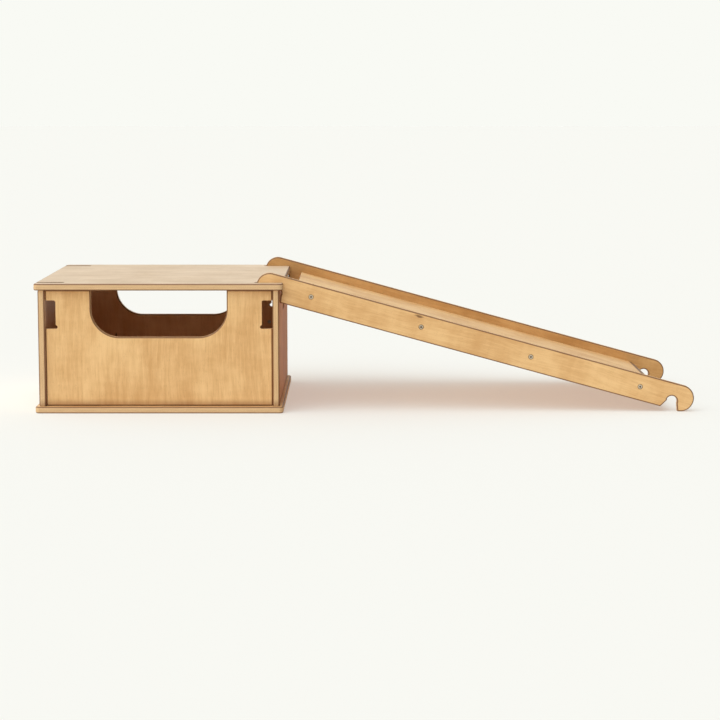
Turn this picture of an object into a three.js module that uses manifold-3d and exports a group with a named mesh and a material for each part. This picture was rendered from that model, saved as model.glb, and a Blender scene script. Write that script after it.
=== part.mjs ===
// Toddler slide: a plywood crawl box with a ramp that hooks on to its right end panel.
// Millimetres, +Z up, +X down the slide, +Y from front to back.
// The origin is on the floor, under the middle of the whole object's box.

import * as THREE from "three";
import { mergeVertices } from "three/addons/utils/BufferGeometryUtils.js";
import Module from "manifold-3d";

const wasm = await Module();
wasm.setup();

// ---- Driving dimensions ----

const SHEET = 18; // plywood thickness, used for every panel, rail and board
const EDGE_ROUND = 4; // eased edge of a panel or rail
const FIT = 0.3; // gap between pieces that touch

const PLATE = 660; // side of the square base and top plates
const PLATE_CORNER = 12; // plan radius of the plates' corners
const BOX_HEIGHT = 346;
const END_INSET = 10; // end panels, in from the plates' left and right edges
const END_SETBACK = 9; // end panels' upright edges, in from the plates' front and back edges
const WALL_SETBACK = 17; // front and back panels, in from the plates' front and back edges

const CRAWL_WIDTH = 361; // U-shaped opening in the front and back panels
const CRAWL_DEPTH = 125.5;
const CRAWL_RADIUS = 76;
const NOTCH_WIDTH = 28; // rail notch at each upright end of the front and back panels
const NOTCH_HEIGHT = 76;
const NOTCH_DROP = 27.5; // from the panel's top edge to the notch
const NOTCH_ROUND = 5;
const GRIP_LENGTH = 110; // hand-hold slot in the end panels
const GRIP_HEIGHT = 35;
const GRIP_CENTRE = 268.5; // above the floor

const SLOT_WIDTH = 20; // rail slots in the top plate
const SLOT_LENGTH = 78;
const RAIL_SETBACK = 36; // rails' outer faces, in from the plates' front and back edges

const RAIL_HEIGHT = 71;
const NOSE_SPACING = 1139.5; // between the centres of a rail's two round noses
const NOSE_REACH = 36; // upper nose's centre, in from the top plate's right edge
const NOSE_ABOVE_RUNG = 19.2; // upper nose's centre, above the centre of its hook notch
const RUNG_RADIUS = 14.3; // round top of a hook notch
const HOOK_WRAP = 0.12; // how far the round top runs down past its middle, in radians
const HOOK_FLARE = 7.2; // how far the notch's outer side leans out towards the nose
const HOOK_THROAT = 12.6; // from the notch's centre to the chamfer at its inner side
const UPPER_LEAD_IN = 4; // length of the upper notch's chamfer along the rail's lower edge
const LOWER_LEAD_IN = 13; // the same at the lower notch

const BOARD_BELOW_RAIL = 25; // sliding surface, below the rails' top edge
const BOARD_START = 68.5; // board's upper end, from the upper nose's centre
const BOARD_END = 38; // board's lower end, short of the lower nose's centre
const BOARD_ROLL = 54; // radius that rolls the board's lower end down
const BOARD_ROLL_LENGTH = 38;

const BOLT = { head: 6, headDepth: 4.2, shank: 3, length: 60, key: 2.3, keyDepth: 2.8 };
const NUT = { radius: 5, length: 14, depth: 14.6 };
const NUT_FROM_EDGE = 34; // barrel nut's axis, in from the edge that the bolt enters
const RAMP_BOLT_PITCH = 304;
const CORNER_BOLT_HEIGHTS = [60, 180];

const SCREW = { head: 4.2, shank: 2, taperTop: 1.95, tip: 0.4, taperLength: 5 };
const BASE_SCREW_LENGTH = 50;
const BASE_SCREW_SINK = 0.8;
const SCREW_SPREAD = 180; // base screws, each side of a wall's middle

const CLEAT = 22; // square section of the battens under the top plate
const CLEAT_LENGTH = 360;
const CLEAT_SCREW_LENGTH = 34;
const CLEAT_SCREWS_UP = 140; // each side of a batten's middle
const CLEAT_SCREWS_OUT = 90;

const LAP = 0.1; // how far the joined parts of a fastener run into each other
const CLEAR = 2; // how far a cutter starts outside the face that it cuts
const ROUND_SIDES = 12; // sides of a bolt, nut or screw
const ARC_STEPS = 4; // half the sides of each arc of an outline
const NOSE_STEPS = 9; // the same, on the rails and the slide board

// ---- Worked-out positions ----

const HALF = PLATE / 2;
const WALL_TOP = BOX_HEIGHT - SHEET;
const noseRadius = RAIL_HEIGHT / 2;
const endPanelX = HALF - END_INSET - SHEET / 2; // right end panel's mid-plane, from the box's middle
const wallY = HALF - WALL_SETBACK - SHEET / 2;
const railY = HALF - RAIL_SETBACK - SHEET / 2;
const wallHalfLength = HALF - END_INSET - SHEET - FIT;

// The hook notch sits on the two top corners of the end panel, so the notch's centre is fixed
// by the panel. The slope follows from it and from the lower nose, which stands on the floor.
const rungDrop = Math.sqrt((RUNG_RADIUS - FIT) ** 2 - (SHEET / 2) ** 2);
const rungCentre = new THREE.Vector2(endPanelX, WALL_TOP - rungDrop);
const upperNose = new THREE.Vector2(HALF - NOSE_REACH, rungCentre.y + NOSE_ABOVE_RUNG);
const slope = Math.asin((upperNose.y - noseRadius) / NOSE_SPACING);
const lowerTipX = upperNose.x + NOSE_SPACING * Math.cos(slope) + noseRadius;

// The notch's centre in the rail's own directions: along from the nose's centre towards the
// rail's middle, and up.
const toRung = rungCentre.clone().sub(upperNose);
const rungAlong = toRung.x * Math.cos(slope) - toRung.y * Math.sin(slope);
const rungUp = toRung.x * Math.sin(slope) + toRung.y * Math.cos(slope);

const boardTop = noseRadius - BOARD_BELOW_RAIL;
const boardMid = boardTop - SHEET / 2;

// ---- Materials ----

function finish(color, roughness, metalness = 0) {
  return new THREE.MeshStandardMaterial({ color, roughness, metalness });
}

const PLYWOOD = () => finish(0xd9a867, 0.42);
const BATTEN = () => finish(0xc99a5e, 0.6);
const STEEL = () => finish(0x8f8f8c, 0.38, 0.9);
const ZINC = () => finish(0xa7a49c, 0.5, 0.85);

// ---- Solids ----

function toSolid(geometry) {
  const plain = geometry.clone();
  plain.deleteAttribute("normal");
  plain.deleteAttribute("uv");
  const merged = mergeVertices(plain, 1e-4);
  return new wasm.Manifold(
    new wasm.Mesh({
      numProp: 3,
      vertProperties: new Float32Array(merged.attributes.position.array),
      triVerts: new Uint32Array(merged.index.array),
    }),
  );
}

function toGeometry(solid) {
  const { vertProperties, triVerts } = solid.getMesh();
  const geometry = new THREE.BufferGeometry();
  geometry.setAttribute("position", new THREE.BufferAttribute(vertProperties, 3));
  geometry.setIndex(new THREE.BufferAttribute(triVerts, 1));
  geometry.computeVertexNormals();
  return geometry;
}

// Takes each of the cutters, a list of geometries, away from a geometry.
function cut(geometry, cutters) {
  let solid = toSolid(geometry);
  for (const cutter of cutters) solid = solid.subtract(toSolid(cutter));
  return toGeometry(solid);
}

// A plywood sheet with eased edges: its outline in x and y, and its thickness from z = 0 up.
function sheet(outline, curveSegments = ARC_STEPS) {
  const geometry = new THREE.ExtrudeGeometry(outline, {
    depth: SHEET - 2 * EDGE_ROUND,
    bevelThickness: EDGE_ROUND,
    bevelSize: EDGE_ROUND,
    bevelOffset: -EDGE_ROUND,
    bevelSegments: 1,
    curveSegments,
  });
  return geometry.translate(0, 0, EDGE_ROUND);
}

// A square-edged cutter through a sheet of the same outline plane.
function throughCut(outline) {
  const geometry = new THREE.ExtrudeGeometry(outline, {
    depth: SHEET + 2 * CLEAR,
    bevelEnabled: false,
    curveSegments: ARC_STEPS,
  });
  return geometry.translate(0, 0, -CLEAR);
}

// A rod along a direction: from a point, with a radius at each end.
function rod(from, direction, length, radius, endRadius = radius, sides = ROUND_SIDES) {
  const geometry = new THREE.CylinderGeometry(endRadius, radius, length, sides);
  geometry.translate(0, length / 2, 0);
  const up = new THREE.Vector3(0, 1, 0);
  const turn = new THREE.Quaternion().setFromUnitVectors(up, direction);
  return geometry.applyQuaternion(turn).translate(from.x, from.y, from.z);
}

const along = (from, direction, distance) => from.clone().addScaledVector(direction, distance);

// ---- Outlines ----

function plateOutline() {
  const r = PLATE_CORNER;
  const c = HALF - r;
  const outline = new THREE.Shape();
  outline.absarc(c, -c, r, -Math.PI / 2, 0);
  outline.absarc(c, c, r, 0, Math.PI / 2);
  outline.absarc(-c, c, r, Math.PI / 2, Math.PI);
  outline.absarc(-c, -c, r, Math.PI, 1.5 * Math.PI);
  outline.closePath();
  return outline;
}

// One of the top plate's slots, over a rail's path: it runs in from the right or left edge.
function slotOutline(side, y) {
  const half = SLOT_WIDTH / 2;
  const slotEnd = side * (HALF - SLOT_LENGTH + half);
  const outline = new THREE.Shape();
  outline.moveTo(side * (HALF + CLEAR), y - side * half);
  outline.lineTo(side * (HALF + CLEAR), y + side * half);
  outline.absarc(slotEnd, y, half, (side * Math.PI) / 2, (side * Math.PI) / 2 + Math.PI);
  outline.closePath();
  return outline;
}

// Front and back panel: x along the box, y up. The crawl opening is open at the top edge.
function wallOutline() {
  const bottom = SHEET + FIT;
  const top = WALL_TOP - FIT;
  const crawlHalf = CRAWL_WIDTH / 2;
  const arcX = crawlHalf - CRAWL_RADIUS;
  const arcY = WALL_TOP - CRAWL_DEPTH + CRAWL_RADIUS;
  const outline = new THREE.Shape();
  outline.moveTo(-wallHalfLength, bottom);
  outline.lineTo(wallHalfLength, bottom);
  outline.lineTo(wallHalfLength, top);
  outline.lineTo(crawlHalf, top);
  outline.absarc(arcX, arcY, CRAWL_RADIUS, 0, -Math.PI / 2, true);
  outline.absarc(-arcX, arcY, CRAWL_RADIUS, -Math.PI / 2, -Math.PI, true);
  outline.lineTo(-crawlHalf, top);
  outline.lineTo(-wallHalfLength, top);
  outline.closePath();
  return outline;
}

// The notch at a wall's right upright end lets a rail pass. Its lower inner corner is relieved.
function notchOutline() {
  const top = WALL_TOP - NOTCH_DROP;
  const bottom = top - NOTCH_HEIGHT;
  const inner = wallHalfLength - NOTCH_WIDTH;
  const outer = wallHalfLength + CLEAR;
  const r = NOTCH_ROUND;
  const outline = new THREE.Shape();
  outline.moveTo(outer, bottom);
  outline.lineTo(outer, top);
  outline.absarc(inner + r, top - r, r, Math.PI / 2, Math.PI);
  outline.absarc(inner, bottom + r, r, Math.PI / 2, 1.5 * Math.PI);
  outline.closePath();
  return outline;
}

// End panel: x along its width, y up, with a hand-hold slot.
function endOutline() {
  const half = HALF - END_SETBACK;
  const bottom = SHEET + FIT;
  const top = WALL_TOP - FIT;
  const outline = new THREE.Shape();
  outline.moveTo(-half, bottom);
  outline.lineTo(half, bottom);
  outline.lineTo(half, top);
  outline.lineTo(-half, top);
  outline.closePath();
  const r = GRIP_HEIGHT / 2;
  const x = GRIP_LENGTH / 2 - r;
  const grip = new THREE.Path();
  grip.absarc(x, GRIP_CENTRE, r, Math.PI / 2, -Math.PI / 2, true);
  grip.absarc(-x, GRIP_CENTRE, r, -Math.PI / 2, -1.5 * Math.PI, true);
  grip.closePath();
  outline.holes.push(grip);
  return outline;
}

// Rail: x from the upper nose's centre to the lower nose's centre, y up. Both ends have a
// hook: a chamfered lead-in, a round notch and the nose that hangs in front of it.
function railOutline() {
  const r = noseRadius;
  const leadIn = rungAlong + HOOK_THROAT;
  const flareEnd = rungAlong - RUNG_RADIUS - HOOK_FLARE;
  const corner = Math.acos(-flareEnd / r); // where the nose meets the notch's outer side
  const above = Math.PI + HOOK_WRAP;
  const outline = new THREE.Shape();
  outline.moveTo(leadIn + UPPER_LEAD_IN, -r);
  outline.lineTo(NOSE_SPACING - leadIn - LOWER_LEAD_IN, -r);
  outline.lineTo(NOSE_SPACING - leadIn, rungUp);
  outline.absarc(
    NOSE_SPACING - rungAlong,
    rungUp,
    RUNG_RADIUS,
    Math.PI - HOOK_WRAP,
    -HOOK_WRAP,
    true,
  );
  outline.absarc(NOSE_SPACING, 0, r, -corner, Math.PI / 2);
  outline.absarc(0, 0, r, Math.PI / 2, Math.PI + corner);
  outline.absarc(rungAlong, rungUp, RUNG_RADIUS, above, HOOK_WRAP, true);
  outline.lineTo(leadIn, rungUp);
  outline.closePath();
  return outline;
}

// Slide board: x as on the rail, y up. Its lower end rolls down towards the floor.
function boardOutline() {
  const bottom = boardTop - SHEET;
  const end = NOSE_SPACING - BOARD_END;
  const rollStart = end - BOARD_ROLL_LENGTH;
  const rollAngle = Math.asin(BOARD_ROLL_LENGTH / BOARD_ROLL);
  const top = Math.PI / 2;
  const outline = new THREE.Shape();
  outline.moveTo(BOARD_START, bottom);
  outline.lineTo(end, bottom);
  outline.absarc(rollStart, boardTop - BOARD_ROLL, BOARD_ROLL, top - rollAngle, top);
  outline.lineTo(BOARD_START, boardTop);
  outline.closePath();
  return outline;
}

// ---- Fasteners, each along a direction from the surface that its head is flush with ----

function boltGeometry(at, inwards) {
  const start = along(at, inwards, FIT);
  const neck = along(start, inwards, BOLT.headDepth - LAP);
  const head = toSolid(rod(start, inwards, BOLT.headDepth, BOLT.head));
  const shank = toSolid(rod(neck, inwards, BOLT.length - BOLT.headDepth, BOLT.shank));
  const above = along(start, inwards, -CLEAR);
  const key = toSolid(rod(above, inwards, BOLT.keyDepth + CLEAR, BOLT.key, BOLT.key, 6));
  return toGeometry(head.add(shank).subtract(key));
}

// What a bolt takes out of the pieces it passes through.
function boltHoles(at, inwards) {
  const above = along(at, inwards, -CLEAR);
  return [
    rod(above, inwards, CLEAR + BOLT.headDepth + 2 * FIT, BOLT.head + FIT),
    rod(above, inwards, CLEAR + BOLT.length + 4 * FIT, BOLT.shank + FIT),
  ];
}

// A barrel nut starts a little below the face it is dropped in from, at "mouth".
function nutGeometry(mouth, inwards, boltAt, boltInwards) {
  const start = along(mouth, inwards, NUT.depth - NUT.length);
  const barrel = rod(start, inwards, NUT.length, NUT.radius);
  return cut(barrel, boltHoles(boltAt, boltInwards).slice(1));
}

function nutHole(mouth, inwards) {
  const above = along(mouth, inwards, -CLEAR);
  return rod(above, inwards, CLEAR + NUT.depth + FIT, NUT.radius + FIT);
}

function screwGeometry(at, inwards, length) {
  const coneDepth = SCREW.head - SCREW.shank;
  const head = toSolid(rod(at, inwards, coneDepth, SCREW.head, SCREW.shank));
  const shankStart = along(at, inwards, coneDepth - LAP);
  const shankLength = length - coneDepth - SCREW.taperLength;
  const shank = toSolid(rod(shankStart, inwards, shankLength, SCREW.shank));
  const taperStart = along(shankStart, inwards, shankLength - LAP);
  const taper = rod(taperStart, inwards, SCREW.taperLength, SCREW.taperTop, SCREW.tip);
  return toGeometry(head.add(shank).add(toSolid(taper)));
}

// What a screw takes out of its pieces: the way in, the countersink and the hole below it.
function screwHoles(at, inwards, length) {
  const coneDepth = SCREW.head - SCREW.shank;
  const above = along(at, inwards, -CLEAR);
  const sink = along(at, inwards, -LAP / 2);
  return [
    rod(above, inwards, CLEAR, SCREW.head + FIT),
    rod(sink, inwards, coneDepth + FIT, SCREW.head + FIT, SCREW.shank),
    rod(above, inwards, CLEAR + length + FIT, SCREW.shank + FIT),
  ];
}

// ---- Where the fasteners go ----

const X = new THREE.Vector3(1, 0, 0);
const Y = new THREE.Vector3(0, 1, 0);
const Z = new THREE.Vector3(0, 0, 1);
const reversed = (v) => v.clone().negate();

// Corner bolts run through an end panel into the end of the front or back panel. Each barrel
// nut is dropped in from the panel's inner face.
const corners = [];
for (const sideX of [-1, 1]) {
  for (const sideY of [-1, 1]) {
    for (const height of CORNER_BOLT_HEIGHTS) {
      const at = new THREE.Vector3(sideX * (HALF - END_INSET), sideY * wallY, height);
      const inwards = sideX > 0 ? reversed(X) : X.clone();
      const mouth = new THREE.Vector3(
        sideX * (wallHalfLength - NUT_FROM_EDGE),
        sideY * (wallY - SHEET / 2),
        height,
      );
      corners.push({ sideX, sideY, at, inwards, mouth, nutWay: Y.clone().multiplyScalar(sideY) });
    }
  }
}

// Ramp bolts run through a rail into the edge of the board, in the ramp's own directions. Each
// barrel nut is dropped in from the board's underside.
const rampBolts = [];
for (const side of [-1, 1]) {
  for (const step of [-1.5, -0.5, 0.5, 1.5]) {
    const x = NOSE_SPACING / 2 + step * RAMP_BOLT_PITCH;
    const at = new THREE.Vector3(x, side * (HALF - RAIL_SETBACK), boardMid);
    const boardEdge = HALF - RAIL_SETBACK - SHEET - FIT;
    const mouth = new THREE.Vector3(x, side * (boardEdge - NUT_FROM_EDGE), boardTop - SHEET);
    rampBolts.push({ side, at, inwards: Y.clone().multiplyScalar(-side), mouth, nutWay: Z });
  }
}

// Base screws run up through the base into the middle of each wall's lower edge.
const baseScrews = [];
for (const side of [-1, 1]) {
  for (const spread of [-SCREW_SPREAD, SCREW_SPREAD]) {
    const endAt = new THREE.Vector3(side * endPanelX, spread, BASE_SCREW_SINK);
    const wallAt = new THREE.Vector3(spread, side * wallY, BASE_SCREW_SINK);
    baseScrews.push({ wall: "end", side, at: endAt });
    baseScrews.push({ wall: "long", side, at: wallAt });
  }
}

// Batten screws: two up into the top plate, and two out into the end panel.
const cleatX = HALF - END_INSET - SHEET - FIT - CLEAT / 2;
const cleatZ = WALL_TOP - FIT - CLEAT / 2;
const cleatScrews = [];
for (const side of [-1, 1]) {
  for (const y of [-CLEAT_SCREWS_UP, CLEAT_SCREWS_UP]) {
    const at = new THREE.Vector3(side * cleatX, y, cleatZ - CLEAT / 2 + FIT);
    cleatScrews.push({ side, into: "top", at, inwards: Z });
  }
  for (const y of [-CLEAT_SCREWS_OUT, CLEAT_SCREWS_OUT]) {
    const at = new THREE.Vector3(side * (cleatX - CLEAT / 2 + FIT), y, cleatZ);
    cleatScrews.push({ side, into: "end", at, inwards: X.clone().multiplyScalar(side) });
  }
}

// ---- Pieces ----

const slide = new THREE.Group();
const box = new THREE.Group();
const ramp = new THREE.Group();
slide.add(box, ramp);

function piece(group, name, geometry, material) {
  const mesh = new THREE.Mesh(geometry, material);
  mesh.name = name;
  group.add(mesh);
}

function addPlates() {
  const baseHoles = baseScrews.flatMap((s) => screwHoles(s.at, Z, BASE_SCREW_LENGTH));
  piece(box, "base_panel", cut(sheet(plateOutline()), baseHoles), PLYWOOD());
  const slots = [-1, 1].flatMap((side) =>
    [-railY, railY].map((y) => throughCut(slotOutline(side, y))),
  );
  const top = cut(sheet(plateOutline()), slots).translate(0, 0, WALL_TOP);
  const topHoles = cleatScrews
    .filter((s) => s.into === "top")
    .flatMap((s) => screwHoles(s.at, s.inwards, CLEAT_SCREW_LENGTH).slice(2));
  piece(box, "top_panel", cut(top, topHoles), PLYWOOD());
}

function addLongWalls() {
  for (const [name, side] of [["front_panel", -1], ["back_panel", 1]]) {
    const notch = throughCut(notchOutline());
    const otherNotch = notch.clone().rotateY(Math.PI).translate(0, 0, SHEET);
    const wall = cut(sheet(wallOutline()), [notch, otherNotch]);
    wall.rotateX(Math.PI / 2).translate(0, side * wallY + SHEET / 2, 0);
    const holes = corners
      .filter((c) => c.sideY === side)
      .flatMap((c) => [boltHoles(c.at, c.inwards)[1], nutHole(c.mouth, c.nutWay)]);
    const screws = baseScrews
      .filter((s) => s.wall === "long" && s.side === side)
      .map((s) => screwHoles(s.at, Z, BASE_SCREW_LENGTH)[2]);
    piece(box, name, cut(wall, [...holes, ...screws]), PLYWOOD());
  }
}

function addEndPanels() {
  for (const [name, side] of [["left_end_panel", -1], ["right_end_panel", 1]]) {
    const panel = sheet(endOutline());
    panel.rotateX(Math.PI / 2).rotateZ(Math.PI / 2);
    panel.translate(side * endPanelX - SHEET / 2, 0, 0);
    const bolts = corners
      .filter((c) => c.sideX === side)
      .flatMap((c) => boltHoles(c.at, c.inwards));
    const screws = baseScrews
      .filter((s) => s.wall === "end" && s.side === side)
      .map((s) => screwHoles(s.at, Z, BASE_SCREW_LENGTH)[2]);
    const cleat = cleatScrews
      .filter((s) => s.into === "end" && s.side === side)
      .map((s) => screwHoles(s.at, s.inwards, CLEAT_SCREW_LENGTH)[2]);
    piece(box, name, cut(panel, [...bolts, ...screws, ...cleat]), PLYWOOD());
  }
}

function addCleats() {
  for (const [name, side] of [["left_top_cleat", -1], ["right_top_cleat", 1]]) {
    const cleat = new THREE.BoxGeometry(CLEAT, CLEAT_LENGTH, CLEAT);
    cleat.translate(side * cleatX, 0, cleatZ);
    const holes = cleatScrews
      .filter((s) => s.side === side)
      .flatMap((s) => screwHoles(s.at, s.inwards, CLEAT_SCREW_LENGTH));
    piece(box, name, cut(cleat, holes), BATTEN());
  }
}

function addBoxFasteners() {
  corners.forEach((c, i) => {
    piece(box, `corner_bolt_${i + 1}`, boltGeometry(c.at, c.inwards), STEEL());
    const nut = nutGeometry(c.mouth, c.nutWay, c.at, c.inwards);
    piece(box, `corner_nut_${i + 1}`, nut, ZINC());
  });
  baseScrews.forEach((s, i) => {
    piece(box, `base_screw_${i + 1}`, screwGeometry(s.at, Z, BASE_SCREW_LENGTH), ZINC());
  });
  cleatScrews.forEach((s, i) => {
    const screw = screwGeometry(s.at, s.inwards, CLEAT_SCREW_LENGTH);
    piece(box, `cleat_screw_${i + 1}`, screw, ZINC());
  });
}

function addRamp() {
  for (const [name, side] of [["front_rail", -1], ["back_rail", 1]]) {
    const rail = sheet(railOutline(), NOSE_STEPS);
    rail.rotateX(Math.PI / 2).translate(0, side * railY + SHEET / 2, 0);
    const holes = rampBolts
      .filter((b) => b.side === side)
      .flatMap((b) => boltHoles(b.at, b.inwards));
    piece(ramp, name, cut(rail, holes), PLYWOOD());
  }
  const width = 2 * (HALF - RAIL_SETBACK - SHEET - FIT);
  const board = new THREE.ExtrudeGeometry(boardOutline(), {
    depth: width,
    bevelEnabled: false,
    curveSegments: NOSE_STEPS,
  });
  board.rotateX(Math.PI / 2).translate(0, width / 2, 0);
  const holes = rampBolts.flatMap((b) => [
    boltHoles(b.at, b.inwards)[1],
    nutHole(b.mouth, b.nutWay),
  ]);
  piece(ramp, "slide_board", cut(board, holes), PLYWOOD());
  rampBolts.forEach((b, i) => {
    piece(ramp, `ramp_bolt_${i + 1}`, boltGeometry(b.at, b.inwards), STEEL());
    const nut = nutGeometry(b.mouth, b.nutWay, b.at, b.inwards);
    piece(ramp, `ramp_nut_${i + 1}`, nut, ZINC());
  });
}

addPlates();
addLongWalls();
addEndPanels();
addCleats();
addBoxFasteners();
addRamp();

// The ramp hangs from its upper nose's centre. The box's middle is left of the origin.
ramp.position.set(upperNose.x, 0, upperNose.y);
ramp.rotation.y = slope;
slide.children.forEach((group) => {
  group.position.x -= (lowerTipX - HALF) / 2;
});

export default slide;
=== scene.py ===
"""Toddler slide: a plywood crawl box, its hook-on ramp and their fastenings.

Every piece stands in the place of its CAD node. Lengths are metres.
+X runs down the slide, +Y from front to back and +Z up.
"""

import math

import bmesh
import bpy
from bpy.props import FloatProperty, FloatVectorProperty, PointerProperty
from mathutils import Matrix, Vector


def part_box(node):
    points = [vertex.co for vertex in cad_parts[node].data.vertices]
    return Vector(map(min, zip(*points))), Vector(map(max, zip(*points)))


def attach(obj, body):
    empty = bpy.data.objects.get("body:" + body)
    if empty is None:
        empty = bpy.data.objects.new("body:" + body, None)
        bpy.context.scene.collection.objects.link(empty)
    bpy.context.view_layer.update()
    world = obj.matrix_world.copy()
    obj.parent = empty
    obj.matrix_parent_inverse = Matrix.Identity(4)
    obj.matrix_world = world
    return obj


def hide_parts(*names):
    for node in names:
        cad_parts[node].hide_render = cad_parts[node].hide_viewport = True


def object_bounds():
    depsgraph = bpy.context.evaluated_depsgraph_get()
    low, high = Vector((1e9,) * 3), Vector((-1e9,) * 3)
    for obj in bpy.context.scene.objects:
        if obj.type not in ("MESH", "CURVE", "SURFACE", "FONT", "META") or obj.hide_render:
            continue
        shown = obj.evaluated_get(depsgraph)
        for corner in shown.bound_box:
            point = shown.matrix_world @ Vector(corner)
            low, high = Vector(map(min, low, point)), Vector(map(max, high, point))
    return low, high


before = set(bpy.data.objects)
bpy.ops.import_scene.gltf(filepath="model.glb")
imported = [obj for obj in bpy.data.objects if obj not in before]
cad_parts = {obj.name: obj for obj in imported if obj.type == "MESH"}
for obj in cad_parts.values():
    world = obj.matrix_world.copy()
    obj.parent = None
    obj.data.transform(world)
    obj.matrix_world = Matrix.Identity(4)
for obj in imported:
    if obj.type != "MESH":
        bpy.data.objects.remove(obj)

bl_info = {
    "name": "Toddler slide",
    "version": (1, 0, 0),
    "blender": (4, 5, 0),
    "location": "3D View > Sidebar > Slide",
    "description": "Builds a plywood crawl box with a hook-on slide, piece by piece",
    "category": "Object",
}

CAD_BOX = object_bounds()

X, Y, Z = Vector((1, 0, 0)), Vector((0, 1, 0)), Vector((0, 0, 1))

ARC_STEP = math.radians(6)  # angle between the points of an arc
EASE_SEGMENTS = 5  # extra points on the rounded edge of a panel
CREASE = math.radians(35)  # edges that turn by more than this stay crisp
TURNED_SIDES = 48  # sides of a turned hole
HIDDEN_SIDES = 32  # sides of a bolt, nut or screw
OUTSIDE = 0.002  # how far a cutter starts outside the face that it cuts
MERGE = 1e-6  # points closer than this are one
STEEL_CREASE = math.radians(30)  # the same as CREASE, on bolts, nuts and screws
FLOOR_REACH = 60  # half the side of the studio floor
LAMP_WAY = (-0.45, -0.55, 1.0)  # from the slide to the lamp: left, front and up
LACQUER_GLOSS = 0.3
DULL_GLOSS = 0.05  # the right end wall, rubbed dull
WRAP = 7  # how far the hook notch's round top runs past its middle, in degrees


# ---- Sizes and colours ----


def length(name, description, default):
    return FloatProperty(
        name=name, description=description, default=default, min=0, unit="LENGTH", precision=4
    )


def colour(name, description, default):
    return FloatVectorProperty(
        name=name, description=description, default=default, min=0, max=1, subtype="COLOR", size=3
    )


def number(name, description, default):
    return FloatProperty(name=name, description=description, default=default, min=0)


class PanelSizes(bpy.types.PropertyGroup):
    """Openings, corners and edges of the box's panels."""

    edge_round: length("Edge round", "Radius of every panel's eased edge", 0.004)
    plate_corner: length("Plate corner", "Plan radius of the base and top plates' corners", 0.012)
    slot_width: length("Slot width", "Rail slots in the top plate", 0.020)
    slot_length: length("Slot length", "From the plate's edge to the slot's round end", 0.078)
    crawl_width: length("Crawl width", "U-shaped opening in the front and back walls", 0.361)
    crawl_depth: length("Crawl depth", "From the top plate down to the opening's floor", 0.1255)
    crawl_radius: length("Crawl radius", "Lower corners of the U-shaped opening", 0.076)
    notch_width: length("Notch width", "Rail notch at a wall's upright end", 0.028)
    notch_height: length("Notch height", "Rail notch at a wall's upright end", 0.076)
    notch_drop: length("Notch drop", "From the top plate down to the notch", 0.0275)
    notch_round: length("Notch round", "Corner rounds of the notch", 0.005)
    grip_length: length("Grip length", "Hand-hold slot in the end walls", 0.110)
    grip_height: length("Grip height", "Hand-hold slot in the end walls", 0.035)
    grip_centre: length("Grip centre", "Hand-hold's middle, above the floor", 0.2685)


class RampSizes(bpy.types.PropertyGroup):
    """Shape of the ramp's rails and sliding board."""

    rail_height: length("Rail height", "Full height of a side rail, and its nose's diameter", 0.071)
    rung_radius: length("Rung radius", "Round top of the hook notch", 0.0143)
    hook_flare: length("Hook flare", "How far the notch's outer side leans out", 0.0072)
    hook_throat: length("Hook throat", "From the notch's centre to its chamfer", 0.0126)
    upper_lead_in: length("Upper lead-in", "Length of the upper notch's chamfer", 0.004)
    lower_lead_in: length("Lower lead-in", "Length of the lower notch's chamfer", 0.013)
    board_below: length("Board below rail", "Sliding face, below the rails' top edge", 0.025)
    board_start: length("Board start", "Board's upper end, from the upper nose's centre", 0.0685)
    board_end: length("Board end", "Board's lower end, short of the lower nose's centre", 0.038)
    board_ease: length("Board ease", "Rounding of the board's upper corners", 0.0016)
    roll_radius: length("Roll radius", "Rolls the board's lower end down", 0.054)
    roll_length: length("Roll length", "Length of the rolled end", 0.038)


class FasteningSizes(bpy.types.PropertyGroup):
    """Bolts, barrel nuts and screws."""

    bolt_head: length("Bolt head", "Radius of a bolt's flat head", 0.0060)
    bolt_head_depth: length("Bolt head depth", "Thickness of a bolt's head", 0.0042)
    bolt_shank: length("Bolt shank", "Radius of a bolt's shank", 0.003)
    bolt_key: length("Key size", "Radius of the hexagon socket", 0.0029)
    bolt_key_depth: length("Key depth", "Depth of the hexagon socket", 0.0038)
    bolt_edge: length("Bolt edge", "Chamfer round a bolt's head", 0.0007)
    nut: length("Nut", "Radius of a barrel nut", 0.005)
    nut_slot: length("Nut slot", "Width and depth of a barrel nut's slot", 0.0014)
    screw_head: length("Screw head", "Radius of a countersunk head", 0.0042)
    screw_shank: length("Screw shank", "Radius of a screw", 0.002)
    screw_tip: length("Screw tip", "Length of a screw's point", 0.005)
    screw_cross: length("Screw cross", "Half width of the cross recess", 0.0021)
    slack: length("Slack", "Room around a fastening in its hole", 0.0003)


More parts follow.
